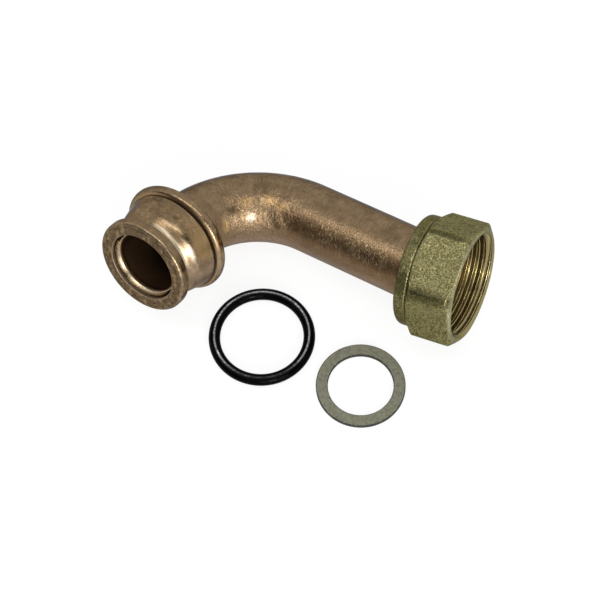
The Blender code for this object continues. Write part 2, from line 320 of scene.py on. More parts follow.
@dataclass(frozen=True)
class Spot:
    """A patch on a round piece, in millimetres and degrees.

    It has a place along the axis, a turn about it, a reach along and around, and a radius.
    """

    along: float
    turn: float
    reach: Pair
    radius: float = 11.0

    def feeds(self) -> dict[str, tuple]:
        """Return the centre and the reach as the spot effect takes them."""
        angle = np.radians(self.turn)
        centre = np.array([self.along, self.radius * np.cos(angle), self.radius * np.sin(angle)])
        reach = np.array([self.reach[0], self.reach[1], self.reach[1]])
        return {"Centre": tuple(centre * MM), "Reach": tuple(reach * MM)}


@dataclass(frozen=True)
class Coat:
    """A layer of a finish: the mask that it lies on, its share there and the name of its colour."""

    mask: str
    share: float
    paint: str


Spots = tuple[Spot, ...]
Coats = tuple[Coat, ...]
Shares = tuple[tuple[str, float], ...]


class Value:
    """A number, vector or colour of a node tree, whose arithmetic adds nodes to the tree."""

    def __init__(self, graph: "Graph", socket: NodeSocket):
        """Keep the socket and the graph that it is in."""
        self.graph = graph
        self.socket = socket

    def __add__(self, other: "Feed") -> "Value":
        """Return the sum."""
        return self.graph.math("ADD", self, other)

    def __sub__(self, other: "Feed") -> "Value":
        """Return the difference."""
        return self.graph.math("SUBTRACT", self, other)

    def __mul__(self, other: "Feed") -> "Value":
        """Return the product."""
        return self.graph.math("MULTIPLY", self, other)

    def most(self, other: "Feed") -> "Value":
        """Return the greater of two numbers."""
        return self.graph.math("MAXIMUM", self, other)

    def rest(self) -> "Value":
        """Return one less the number."""
        return self.graph.math("SUBTRACT", 1.0, self)

    def length(self, other: "Value") -> "Value":
        """Return the length of two offsets that are square to each other."""
        return self.graph.math("SQRT", self * self + other * other)

    def parts(self) -> tuple["Value", ...]:
        """Return the three numbers of a vector."""
        return self.graph.outputs("ShaderNodeSeparateXYZ", {0: self})

    def span(self, low: "Feed", high: "Feed", start: "Feed" = 0.0, end: "Feed" = 1.0) -> "Value":
        """Return the number carried smoothly from one span to another and kept inside it."""
        feeds = {"Value": self, "From Min": low, "From Max": high, "To Min": start, "To Max": end}
        return self.graph.outputs("ShaderNodeMapRange", feeds, interpolation_type="SMOOTHSTEP")[0]

    def fade(self, low: "Feed", high: "Feed") -> "Value":
        """Return one under a span, zero over it, and a smooth fall between."""
        return self.span(low, high, 1.0, 0.0)

    def ramp(self, ramp: Ramp) -> "Value":
        """Return a mask that grows along a ramp."""
        return self.span(ramp.start * MM, ramp.full * MM)

    def band(self, band: Band) -> "Value":
        """Return a mask of the numbers inside a band."""
        low, high, soft = (limit * MM for limit in (band.low, band.high, band.soft))
        return self.span(low - soft, low + soft) * self.fade(high - soft, high + soft)

    def stretch(self, scale: Triple) -> "Value":
        """Return a place scaled along each axis."""
        return self.graph.outputs("ShaderNodeMapping", {"Vector": self, "Scale": scale})[0]

    def noise(self, scale: "Feed", detail: float = 2.0, rough: float = 0.6) -> "Value":
        """Return noise that follows a place."""
        feeds = {"Vector": self, "Scale": scale, "Detail": detail, "Roughness": rough}
        return self.graph.outputs("ShaderNodeTexNoise", feeds)[0]

    def effect(self, effect: "Effect", **feeds: "Feed") -> tuple["Value", ...]:
        """Return the outputs of a shared effect that follows a place."""
        return self.graph.outputs("ShaderNodeGroup", {"Place": self} | feeds, node_tree=effect.tree())

    def grain(self, scale: float) -> "Value":
        """Return grain that follows a place."""
        return self.effect(Effect.GRAIN, Scale=scale)[0]

    def smudge(self, cloud: Cloud) -> "Value":
        """Return smudges that follow a place."""
        return self.effect(Effect.SMUDGES, Scale=cloud.scale, Low=cloud.low, High=cloud.high)[0]

    def scratches(self, lines: Lines, followed: "Value") -> "Value":
        """Return scratches in patches about a place, with lines that follow another."""
        stretched = followed.stretch(lines.stretch)
        return self.effect(Effect.SCRATCHES, Stretched=stretched, Share=lines.share, Thin=lines.thin)[0]

    def patches(self, spots: Spots, mask: "Feed" = 0.0) -> "Value":
        """Return the most of a mask and of several spots about a place."""
        for spot in spots:
            mask = self.effect(Effect.SPOT, **spot.feeds())[0].most(mask)
        return mask

    def bump(self, strength: float, distance: float) -> "Value":
        """Return a normal bent by the number as a height."""
        feeds = {"Height": self, "Strength": strength, "Distance": distance}
        return self.graph.outputs("ShaderNodeBump", feeds)[0]


Feed = Value | float | tuple


class Graph:
    """Adds nodes to a node tree and links them."""

    def __init__(self, tree: NodeTree):
        """Keep the tree to add to."""
        self.tree = tree

    def add(self, kind: str, feeds: dict | None = None, **settings: object) -> Node:
        """Add a node.

        Args:
            kind: The node's type name.
            feeds: What goes into its inputs, by name or number.
            settings: Properties to set on the node first.

        Returns:
            The new node.
        """
        node = self.tree.nodes.new(kind)
        for name, value in settings.items():
            setattr(node, name, value)
        self.feed(node, feeds or {})
        return node

    def outputs(self, kind: str, feeds: dict | None = None, **settings: object) -> tuple[Value, ...]:
        """Add a node and return its outputs."""
        return tuple(Value(self, socket) for socket in self.add(kind, feeds, **settings).outputs)

    def feed(self, node: Node, feeds: dict) -> None:
        """Link values to a node's inputs, or set the inputs' own values."""
        for key, feed in feeds.items():
            if isinstance(feed, Value):
                self.tree.links.new(feed.socket, node.inputs[key])
            else:
                node.inputs[key].default_value = feed

    def math(self, operation: str, *values: Feed) -> Value:
        """Return the result of a Math node."""
        return self.outputs("ShaderNodeMath", dict(enumerate(values)), operation=operation)[0]

    def vector(self, operation: str, *values: Feed) -> tuple[Value, Value]:
        """Return the vector and the number that a Vector Math node gives."""
        return self.outputs("ShaderNodeVectorMath", dict(enumerate(values)), operation=operation)

    def mix(self, share: Feed, first: Feed, second: Feed) -> Value:
        """Return two colours mixed."""
        feeds = {0: share}
        for number, colour in ((6, first), (7, second)):
            feeds[number] = colour if isinstance(colour, Value) else (*colour, 1.0)
        return self.outputs("ShaderNodeMix", feeds, data_type="RGBA")[2]

    def join(self, *numbers: Feed) -> Value:
        """Return three numbers as a vector."""
        return self.outputs("ShaderNodeCombineXYZ", dict(enumerate(numbers)))[0]

    def carried(self, attribute: Attribute) -> Value:
        """Return what the meshes carry under a name."""
        node = self.add("ShaderNodeAttribute", attribute_name=attribute.value)
        return Value(self, node.outputs["Vector" if attribute is Attribute.SHAPE else "Fac"])


def new_material(name: str) -> tuple[Material, Graph, Node]:
    """Return a new material, its node graph and its Principled shader."""
    material = bpy.data.materials.new(name)
    material.use_nodes = True
    return material, Graph(material.node_tree), material.node_tree.nodes["Principled BSDF"]


class Effect(Enum):
    """Surface effects that the finishes share, each kept as a shader node group."""

    GRAIN = "grain"
    SCRATCHES = "scratches"
    SMUDGES = "smudges"
    SPOT = "spot"
    EDGES = "edges"

    def tree(self) -> NodeTree:
        """Return the effect's node group, built when it is first asked for."""
        found = bpy.data.node_groups.get(self.value)
        return found or getattr(self, f"build_{self.value}")()

    def start(self, **inputs: Feed) -> list[Value]:
        """Begin the effect's node group.

        Args:
            inputs: Values of its inputs after the place, where three numbers make a vector.

        Returns:
            The inputs, with the place first.
        """
        tree = bpy.data.node_groups.new(self.value, "ShaderNodeTree")
        inputs = {"Place": ORIGIN} | inputs
        for name, value in inputs.items():
            kind = "NodeSocketVector" if isinstance(value, tuple) else "NodeSocketFloat"
            tree.interface.new_socket(name, in_out="INPUT", socket_type=kind).default_value = value
        graph = Graph(tree)
        given = graph.add("NodeGroupInput").outputs
        return [Value(graph, given[name]) for name in inputs]

    @staticmethod
    def finish(**outputs: Value) -> NodeTree:
        """Give a node group its outputs.

        Args:
            outputs: What each output gives, by name.

        Returns:
            The finished group.
        """
        graph = next(iter(outputs.values())).graph
        for name in outputs:
            graph.tree.interface.new_socket(name, in_out="OUTPUT", socket_type="NodeSocketFloat")
        graph.add("NodeGroupOutput", outputs)
        return graph.tree

    def build_grain(self) -> NodeTree:
        """Build the grain: fine noise with half as much of a noise twice as coarse."""
        place, scale = self.start(Scale=2000.0)
        both = place.noise(scale) + place.noise(scale * 0.45, 1.0, 0.55) * 0.5
        return self.finish(Grain=both.span(0.5, 1.0))

    def build_scratches(self) -> NodeTree:
        """Build the scratches: thin lines where a stretched noise crosses its middle value.

        A wide noise leaves them out wherever it stays under one less the share.
        """
        place, stretched, share, thin = self.start(Stretched=ORIGIN, Share=0.5, Thin=0.03)
        off = place.graph.math("ABSOLUTE", stretched.noise(1.0, 1.0, 0.55) - 0.5)
        edge = share.rest()
        there = place.noise(420.0, 2.0, 0.55).span(edge, edge + 0.12)
        return self.finish(Scratch=off.fade(0.0, thin) * there)

    def build_smudges(self) -> NodeTree:
        """Build the smudges: a cloudy noise carried from the span low to high onto 0 to 1."""
        place, scale, low, high = self.start(Scale=200.0, Low=0.45, High=0.65)
        return self.finish(Smudge=place.noise(scale, 5.0).span(low, high))

    def build_spot(self) -> NodeTree:
        """Build one spot: full within its reach of a centre, with an edge broken by noise."""
        place, centre, reach = self.start(Centre=ORIGIN, Reach=(1.0, 1.0, 1.0))
        vector = place.graph.vector
        share = vector("DIVIDE", vector("SUBTRACT", place, centre)[0], reach)[0]
        broken = place.noise(900.0, 3.0, 0.65) - 0.5
        return self.finish(Spot=(vector("LENGTH", share)[1] + broken * 0.8).fade(0.4, 1.1))

    def build_edges(self) -> NodeTree:
        """Build the edges: ridges that wear leaves bright and grooves filled, both broken by noise."""
        place, ridge, scale = self.start(Ridge=0.0, Scale=700.0)
        wear_and_highlight = ridge * place.noise(scale, 3.0).span(0.25, 0.6, 0.3, 1.0)
        return self.finish(Rubbed=wear_and_highlight.span(0.1, 0.6), Filled=wear_and_highlight.span(-0.25, -0.9))


class Finish:
    """A finish with coats that lie over a ground in order, and roughness that masks add to."""

    coats: Coats
    rough: float
    rough_shares: Shares

    def lay(self, ground: Feed, masks: dict[str, Value]) -> Feed:
        """Lay the coats over the ground.

        Args:
            ground: The colour underneath.
            masks: Where each coat lies, by name.

        Returns:
            The colour of the whole surface.
        """
        for coat in self.coats:
            mask = masks[coat.mask]
            ground = mask.graph.mix(mask * coat.share, ground, getattr(self, coat.paint))
        return ground

    def roughness(self, masks: dict[str, Value]) -> Feed:
        """Add a share of each mask in the table to the ground's roughness.

        Args:
            masks: The masks, by name.

        Returns:
            The roughness of the whole surface.
        """
        rough = self.rough
        for name, share in self.rough_shares:
            rough = masks[name] * share + rough
        return rough


@dataclass(frozen=True)
class CopperFinish(Finish):
    """Satin bare copper, browned by handling and drawn bright where it was formed, with painted
    highlights, painted reflections and painted shade laid over it.
    """

    body: Colour = (0.219, 0.147, 0.083)
    brown: Colour = (0.158, 0.107, 0.058)
    # Gold: a golden tint, painted gold highlights and the groove's painted light.
    gold: Colour = (0.36, 0.228, 0.098)
    bright: Colour = (0.46, 0.36, 0.23)
    # The colour of painted glints.
    spark: Colour = (0.80, 0.63, 0.36)
    # The colour of painted highlights.
    wear_and_highlight: Colour = (0.56, 0.50, 0.42)
    # Cream: the colour of painted highlights inside the mouth and on the neck.
    cream: Colour = (0.66, 0.56, 0.39)
    # The warm and inner colours paint the tube's side towards the bend's centre warmer: a painted
    # reflection.
    warm: Colour = (0.222, 0.135, 0.069)
    # A pale brown: mottling on the lip face, and painted light on the tube's lower side and on the
    # mouth's wall.
    pale_and_lit: Colour = (0.38, 0.275, 0.19)
    inner: Colour = (0.25, 0.166, 0.092)
    dull: Colour = (0.118, 0.083, 0.046)
    # Near-black: dark pits and grime, and painted shade.
    soot_and_shade: Colour = (0.030, 0.019, 0.011)
    # Near-black: the painted shade inside the bore.
    deep: Colour = (0.048, 0.022, 0.009)
    edge_tint: Colour = (0.37, 0.395, 0.435)
    rough: float = 0.12
    relief: Pair = (0.8, 0.017 * MM)
    ring_depth: float = 0.5
    drawn_height: float = 0.3
    dent_growth: float = 15.0
    sparkle_height: float = 3.0
    sparkle_growth: float = 14.0
    leg_sparkle: float = 5.0
    under_share: float = 0.85
    shade_share: float = 0.72
    pit_share: float = 0.2
    face_pits: float = 0.55
    groove_matt: float = 0.25
    wall_matt: float = 0.2
    gilt_limits: Pair = (0.2, 0.95)
    speck_limits: Pair = (0.53, 0.63)
    spigot: Ramp = Ramp(23.0, 21.0)
    bend_start: Ramp = Ramp(28.0, 38.0)
    bend_end: Ramp = Ramp(72.0, 60.0)
    leg: Ramp = Ramp(54.0, 74.0)
    inside: Ramp = Ramp(10.6, 10.3)
    under: Ramp = Ramp(-4.95, -10.45)
    low: Ramp = Ramp(1.5, -6.0)
    low_start: Ramp = Ramp(3.0, 4.5)
    low_shift: float = 4.5 * MM
    face: Ramp = Ramp(0.6, 0.15)
    wall: Ramp = Ramp(1.3, 1.0)
    wall_radius: Ramp = Ramp(11.7, 11.5)
    mouth: Ramp = Ramp(11.6, 11.4)
    near_side: Ramp = Ramp(1.0, -2.0)
    top_side: Ramp = Ramp(1.0, 4.0)
    groove_radius: Ramp = Ramp(11.0, 15.05)
    line_fade: Ramp = Ramp(6.0, -4.0)
    step: Band = Band(1.2, 1.95, 0.2)
    taper: Band = Band(2.0, 2.85, 0.15)
    throat: Band = Band(5.4, 6.7, 0.4)
    turning: Band = Band(14.1, 14.5, 0.15)
    groove: Band = Band(15.05, 15.85, 0.15)
    groove_line: Band = Band(15.25, 15.75, 0.1)
    cloud: Cloud = Cloud(170.0)
    fleck: Cloud = Cloud(520.0, 0.5, 0.7)
    pits: Cloud = Cloud(1500.0, 0.49, 0.59)
    patchy: Cloud = Cloud(240.0, 0.4, 0.6)
    grain: float = 2300.0
    dents: float = 620.0
    sparkle: float = 1600.0
    ring: Lines = Lines((2600.0, 90.0, 90.0), 0.6, 0.06)
    drawn_stretch: Triple = (1500.0, 280.0, 280.0)
    speck_stretch: Triple = (2600.0, 900.0, 900.0)
    # Dark patches on the bend and on the shoulder.
    dark_spots: Spots = (
        Spot(36.5, 141.0, (2.4, 1.5)),
        Spot(55.2, 154.0, (1.8, 3.2)),
        Spot(57.5, 168.0, (2.2, 1.8)),
        Spot(14.0, 76.0, (1.2, 3.0), 16.3),
        Spot(11.1, 109.0, (0.8, 1.3), 15.6),
    )
    # Painted shade: a painted dark reflection along the leg, and two sides of the bead darkened.
    shades: Spots = (
        Spot(74.0, 164.0, (13.0, 2.6)),
        Spot(92.0, 160.0, (18.0, 3.2)),
        Spot(17.4, 48.0, (2.2, 12.0), 18.0),
        Spot(17.4, 222.0, (2.2, 6.0), 18.0),
    )
    # Painted highlights on the flare behind the lip and on the bend.
    highlight_spots: Spots = (
        Spot(8.3, 153.0, (1.0, 4.0), 14.6),
        Spot(44.6, 157.0, (2.6, 2.0)),
    )
    # Painted glints along the highlight streak on the leg.
    glint_patches: Spots = (
        Spot(78.0, 147.0, (9.0, 4.0)),
        Spot(92.0, 147.0, (11.0, 4.2)),
    )
    # Painted gold highlights on the bend and on the shoulder.
    gold_highlights: Spots = (
        Spot(31.3, 162.0, (2.6, 3.0)),
        Spot(43.2, 132.0, (3.4, 2.4)),
        Spot(53.1, 128.0, (3.8, 2.2)),
        Spot(58.5, 138.0, (3.5, 1.8)),
        Spot(12.4, 150.0, (3.6, 9.0), 16.0),
        Spot(14.0, 148.0, (1.0, 10.0), 16.35),
    )
    coats: Coats = (
        # The tube's lower side is painted lighter: a painted reflection of the white floor.
        Coat("low", 0.9, "pale_and_lit"),
        Coat("face", 0.6, "dull"),
        Coat("pitted", 1.0, "soot_and_shade"),
        Coat("turning", 0.3, "soot_and_shade"),
        Coat("flecked", 0.7, "pale_and_lit"),
        Coat("mottled", 0.22, "dull"),
        # A golden tint over the spigot, and painted gold highlights.
        Coat("tint_and_highlights", 0.62, "gold"),
        # Dark patches, and painted shade.
        Coat("smudged_and_shaded", 0.55, "soot_and_shade"),
        # Painted highlights.
        Coat("painted_highlights", 0.45, "wear_and_highlight"),
        # Painted glints.
        Coat("specks", 0.5, "spark"),
        Coat("ring", 0.25, "bright"),
        Coat("ridges", 0.2, "bright"),
        Coat("hollows", 0.3, "soot_and_shade"),
        # The mouth's wall is painted lighter: painted light in a recess.
        Coat("wall", 0.8, "pale_and_lit"),
        # The groove is painted gold: painted light in it.
        Coat("groove", 0.45, "gold"),
        # Painted shade: a dark line along the middle of the groove, fading towards one side.
        Coat("line", 0.85, "soot_and_shade"),
        # Inside the mouth: the shallow half of the taper is painted darker as painted shade, and the
        # deep half is painted cream as a painted highlight.
        Coat("step", 0.7, "dull"),
        Coat("taper", 0.45, "cream"),
        # A painted highlight on one side of the neck behind the lip.
        Coat("throat", 0.5, "cream"),
        # The bore is painted near-black: painted shade inside the tube.
        Coat("inside", 0.93, "deep"),
    )
    rough_shares: Shares = (
        ("cloud", 0.05),
        ("grain", 0.08),
        ("shaded", 0.2),
        ("face", 0.2),
        ("wall", 0.15),
        ("throat", 0.2),
        ("inside", 0.3),
    )

    def regions(self, place: Value) -> dict[str, Value]:
        """Return masks of the regions of the tube.

        Args:
            place: The distance along the tube and the two offsets from its axis.

        Returns:
            The masks, by name.
        """
        along, out, square = place.parts()
        radius = out.length(square)
        spigot = along.ramp(self.spigot)
        face = along.ramp(self.face)
        mouth = radius.ramp(self.mouth)
        # The lower side of the tube, where a painted reflection of the floor is laid.
        low = (square - spigot * self.low_shift).ramp(self.low)
        groove = along.band(self.groove) * radius.ramp(self.groove_radius)
        # The side of the neck where a painted highlight is laid.
        throat = along.band(self.throat) * out.ramp(self.near_side) * square.ramp(self.top_side)
        return {
            "spigot": spigot,
            "face": face,
            "under": out.ramp(self.under) * spigot.rest(),
            "low": low * along.ramp(self.low_start),
            "leg": along.ramp(self.leg),
            "bent": along.ramp(self.bend_start) * along.ramp(self.bend_end),
            "inside": radius.ramp(self.inside),
            "wall": along.ramp(self.wall) * radius.ramp(self.wall_radius),
            "step": along.band(self.step) * mouth,
            "taper": along.band(self.taper) * mouth,
            "throat": throat,
            "turning": radius.band(self.turning) * face,
            "groove": groove,
            "line": along.band(self.groove_line) * groove * out.ramp(self.line_fade),
        }

    def marks(self, place: Value, turned: Value, region: dict[str, Value]) -> dict[str, Value]:
        """Return masks of the marks on the copper.

        Args:
            place: The distance along the tube and the two offsets from its axis.
            turned: The same with the radius taken off the distance, for lines round the tube.
            region: The masks of the regions.

        Returns:
            The masks, by name.
        """
        face, spigot = region["face"], region["spigot"]
        fleck = place.smudge(self.fleck)
        patchy = place.smudge(self.patchy)
        tint_and_highlights = fleck * spigot.span(0.0, 1.0, *self.gilt_limits)
        specks = turned.stretch(self.speck_stretch).noise(1.0).span(*self.speck_limits)
        ridges, hollows = place.effect(Effect.EDGES, Ridge=place.graph.carried(Attribute.RIDGE))
        return {
            "patchy": patchy,
            "pitted": place.smudge(self.pits) * (face * self.face_pits + self.pit_share),
            "flecked": face * fleck,
            "mottled": patchy * spigot,
            "tint_and_highlights": place.patches(self.gold_highlights, tint_and_highlights),
            "smudged_and_shaded": place.patches(self.dark_spots) + place.patches(self.shades) * self.shade_share,
            "painted_highlights": place.patches(self.highlight_spots),
            "specks": specks * place.patches(self.glint_patches),
            "ring": place.scratches(self.ring, turned),
            "ridges": ridges,
            "hollows": hollows,
        }

    def material(self) -> Material:
        """Build the material.

        The shape_place attribute holds the distance along the tube and the two offsets from its
        axis, so lines that vary with the distance run round the tube.

        Returns:
            The copper.
        """
        material, graph, shader = new_material("satin_copper")
        place = graph.carried(Attribute.SHAPE)
        along, out, square = place.parts()
        turned = graph.join(along - out.length(square), out, square)
        region = self.regions(place)
        mark = self.marks(place, turned, region)
        under, leg, bent = region["under"], region["leg"], region["bent"]
        grain = place.grain(self.grain)
        cloud = place.smudge(self.cloud)
        masks = region | mark | {"grain": grain, "cloud": cloud, "shaded": under.most(region["low"])}

        ground = graph.mix(cloud, self.body, self.brown)
        # Painted reflection: the side towards the bend's centre, off the spigot, is painted warmer.
        ground = graph.mix(under * self.under_share, ground, graph.mix(leg, self.inner, self.warm))
        # The groove and the mouth's wall are made less metallic so that they look lighter, as part of
        # their painted light.
        matt = region["groove"] * self.groove_matt + region["wall"] * self.wall_matt
        drawn = turned.stretch(self.drawn_stretch).noise(1.0)
        height = grain - mark["ring"] * self.ring_depth + drawn * self.drawn_height
        height = height + place.noise(self.dents) * (bent * self.dent_growth + 1.0)
        lively = bent * mark["patchy"] * self.sparkle_growth + leg * self.leg_sparkle
        height = height + place.noise(self.sparkle) * (lively + self.sparkle_height)
        graph.feed(shader, {
            "Base Color": self.lay(ground, masks),
            "Roughness": self.roughness(masks),
            "Metallic": matt.rest(),
            "Specular Tint": (*self.edge_tint, 1.0),
            "Normal": height.bump(*self.relief),
        })
        return material


@dataclass(frozen=True)
class BrassFinish(Finish):
    """Forged brass with a blasted skin outside and a machined thread inside."""

    body: Colour = (0.170, 0.153, 0.067)
    pale: Colour = (0.40, 0.36, 0.165)
    dark: Colour = (0.050, 0.045, 0.018)
    machined: Colour = (0.29, 0.243, 0.112)
    # A light colour for the thread's roots: painted light where they lie in shade.
    valley: Colour = (0.58, 0.49, 0.28)
    grime: Colour = (0.03, 0.024, 0.01)
    # A pale colour for the front face and for the painted highlight on its rim.
    rim: Colour = (0.64, 0.60, 0.42)
    edge_tint: Colour = (0.39, 0.39, 0.37)
    rough: float = 0.24
    relief: Pair = (0.9, 0.13 * MM)
    pit_depth: float = 0.8
    thread_relief: float = 0.1
    corner_wear: float = 0.6
    corner_limits: Pair = (0.06, 0.18)
    # Painted shade on the boss, and a painted shadow along the groove in front of it.
    boss_share: float = 0.38
    groove_share: float = 0.12
    corner_shade_share: float = 0.75
    front_share: float = 0.6
    fill_share: float = 0.12
    blasted_fill: float = 0.5
    wear: float = 900.0
    thread: Ramp = Ramp(16.9, 16.7)
    thread_start: Ramp = Ramp(0.2, 0.6)
    threaded: Band = Band(5.2, 18.3, 0.3)
    flank: Ramp = Ramp(15.4, 16.3)
    boss: Ramp = Ramp(4.8, 4.0)
    boss_groove: Band = Band(3.9, 4.4, 0.2)
    front: Ramp = Ramp(18.2, 18.9)
    grain: float = 1600.0
    pits: Cloud = Cloud(2000.0, 0.48, 0.56)
    cloud: Cloud = Cloud(150.0)
    # Painted shade: dark reflections in the hexagon's rounded corners, and shade on one side of the
    # boss.
    dark_corners: Spots = (
        Spot(9.5, 30.0, (14.0, 3.0), 19.6),
        Spot(9.5, -30.0, (14.0, 1.3), 19.6),
        Spot(2.0, 26.0, (3.0, 6.5), 17.4),
    )
    # A painted highlight on one side of the front rim.
    rim_highlights: Spots = (Spot(18.9, 52.0, (1.4, 7.5), 18.0),)
    coats: Coats = (
        Coat("grain", 0.9, "pale"),
        Coat("pits", 0.68, "dark"),
        Coat("cloud", 0.12, "dark"),
        # Painted shade.
        Coat("painted_shade", 1.0, "dark"),
        # The pale front face, and a painted highlight on its rim.
        Coat("rim_and_highlight", 0.4, "rim"),
        Coat("cut", 1.0, "machined"),
        # The thread's roots are painted lighter: painted light.
        Coat("valley", 1.0, "valley"),
        Coat("ridges", 0.2, "pale"),
        Coat("filled", 1.0, "grime"),
    )
    rough_shares: Shares = (("grain", 0.12), ("corner", -0.08), ("cut", -0.1))

    def material(self) -> Material:
        """Build the material, whose shape_place attribute is the place from the nut's back."""
        material, graph, shader = new_material("blasted_brass")
        place = graph.carried(Attribute.SHAPE)
        ridge = graph.carried(Attribute.RIDGE)
        across, beside, height = place.parts()
        turned = graph.join(height, across, beside)
        radius = across.length(beside)
        cut = radius.ramp(self.thread) * height.ramp(self.thread_start)
        blasted = cut.rest()
        grain = place.grain(self.grain)
        pits = place.smudge(self.pits)
        corner = ridge.span(*self.corner_limits)
        ridges, hollows = place.effect(Effect.EDGES, Ridge=ridge, Scale=self.wear)
        # The boss is painted darker as shade, and its groove as a shadow.
        behind = height.ramp(self.boss) * self.boss_share
        behind = behind + height.band(self.boss_groove) * self.groove_share
        masks = {
            "grain": grain,
            "pits": pits,
            "cloud": place.smudge(self.cloud),
            "painted_shade": behind.most(turned.patches(self.dark_corners) * self.corner_shade_share),
            "rim_and_highlight": turned.patches(self.rim_highlights, height.ramp(self.front) * self.front_share),
            "cut": cut,
            "valley": cut * radius.ramp(self.flank) * height.band(self.threaded),
            "ridges": ridges,
            "filled": hollows * (blasted * self.blasted_fill + self.fill_share),
            "corner": corner,
        }
        bumps = (grain - pits * self.pit_depth) * (corner * self.corner_wear).rest()
        bumps = bumps * (blasted * (1 - self.thread_relief) + self.thread_relief)
        graph.feed(shader, {
            "Base Color": self.lay(self.body, masks),
            "Roughness": self.roughness(masks),
            "Metallic": 1.0,
            "Specular Tint": (*self.edge_tint, 1.0),
            "Normal": bumps.bump(*self.relief),
        })
        return material


@dataclass(frozen=True)
class RubberFinish(Finish):
    """Gloss black rubber with a little dust, a moulded grain and a painted highlight along its crest.
    """

    body: Colour = (0.0008, 0.0008, 0.001)
    dust: Colour = (0.007, 0.007, 0.008)
    # The colours of the painted highlight along the crest and of its brighter core.
    painted_sheen: Colour = (0.5, 0.5, 0.52)
    glint: Colour = (0.88, 0.88, 0.9)
    gloss: float = 0.03
    rough: float = 0.05
    relief: Pair = (0.3, 0.006 * MM)
    crest: Ramp = Ramp(1.77025, 1.830475)
    core: Ramp = Ramp(1.80675, 1.826825)
    far_side: Ramp = Ramp(8.0, 13.5)
    far_way: Pair = (0.45, -0.9)
    far_loss: float = 0.85
    dust_share: float = 0.3
    speck_share: float = 0.6
    clear_crest: float = 0.4
    grained_crest: float = 0.35
    grain_limits: Pair = (0.1, 0.8)
    grain: float = 2600.0
    cloud: Cloud = Cloud(260.0, 0.5, 0.72)
    specks: Cloud = Cloud(1500.0, 0.64, 0.72)
    coats: Coats = (
        Coat("dusty", 1.0, "dust"),
        # A painted highlight along the crest, with a brighter core.
        Coat("crest", 1.0, "painted_sheen"),
        Coat("core", 0.4, "glint"),
    )
    rough_shares: Shares = (("cloud", 0.06), ("grain", 0.05))

    def material(self) -> Material:
        """Build the material, whose shape_place attribute is the place from the ring's centre."""
        material, graph, shader = new_material("gloss_rubber")
        place = graph.carried(Attribute.SHAPE)
        across, beside, up = place.parts()
        grain = place.grain(self.grain)
        cloud = place.smudge(self.cloud)
        # The painted highlight is faded on one side of the ring.
        far = across * self.far_way[0] + beside * self.far_way[1]
        near = (far.ramp(self.far_side) * self.far_loss).rest()
        clouded = cloud * (1 - self.clear_crest) + self.clear_crest
        broken = grain.span(*self.grain_limits, self.grained_crest, 1.0)
        crest = up.ramp(self.crest) * near * broken * clouded
        masks = {
            "grain": grain,
            "cloud": cloud,
            "dusty": place.smudge(self.specks) * self.speck_share + cloud * self.dust_share,
            "crest": crest,
            "core": up.ramp(self.core) * crest,
        }
        graph.feed(shader, {
            "Base Color": self.lay(self.body, masks),
            "Specular IOR Level": self.gloss,
            "Roughness": self.roughness(masks),
            "Normal": grain.bump(*self.relief),
        })
        return material


@dataclass(frozen=True)
class FibreFinish(Finish):
    """Matt pressed fibre sheet, cut clean at its edges, with its sides and edges painted near-black as
    shade.
    """

    body: Colour = (0.132, 0.130, 0.088)
    pale: Colour = (0.26, 0.256, 0.185)
    dark: Colour = (0.045, 0.045, 0.032)
    # Near-black: the painted shade on the sides and edges.
    cut: Colour = (0.012, 0.012, 0.009)
    rough: float = 0.75
    relief: Pair = (0.5, 0.04 * MM)
    side: Ramp = Ramp(-0.05, -0.3)
    grain: float = 2200.0
    cloud: Cloud = Cloud(800.0, 0.42, 0.66)
    strands: Lines = Lines((900.0, 3200.0, 3200.0), 0.55, 0.08)
    strand_depth: float = 0.6
    wear: float = 1200.0
    coats: Coats = (
        Coat("cloud", 0.5, "dark"),
        Coat("grain", 0.4, "pale"),
        Coat("strands", 0.3, "dark"),
        # Painted shade on the sides and edges.
        Coat("side", 1.0, "cut"),
    )
    rough_shares: Shares = (("grain", 0.15),)

    def material(self) -> Material:
        """Build the material, whose shape_place attribute is the place from the middle of the top."""
        material, graph, shader = new_material("pressed_fibre")
        place = graph.carried(Attribute.SHAPE)
        grain = place.grain(self.grain)
        strands = place.scratches(self.strands, place)
        ridge = graph.carried(Attribute.RIDGE)
        ridges, _ = place.effect(Effect.EDGES, Ridge=ridge, Scale=self.wear)
        masks = {
            "cloud": place.smudge(self.cloud),
            "grain": grain,
            "strands": strands,
            "side": place.parts()[2].ramp(self.side).most(ridges),
        }
        graph.feed(shader, {
            "Base Color": self.lay(self.body, masks),
            "Roughness": self.roughness(masks),
            "Normal": (grain - strands * self.strand_depth).bump(*self.relief),
        })
        return material


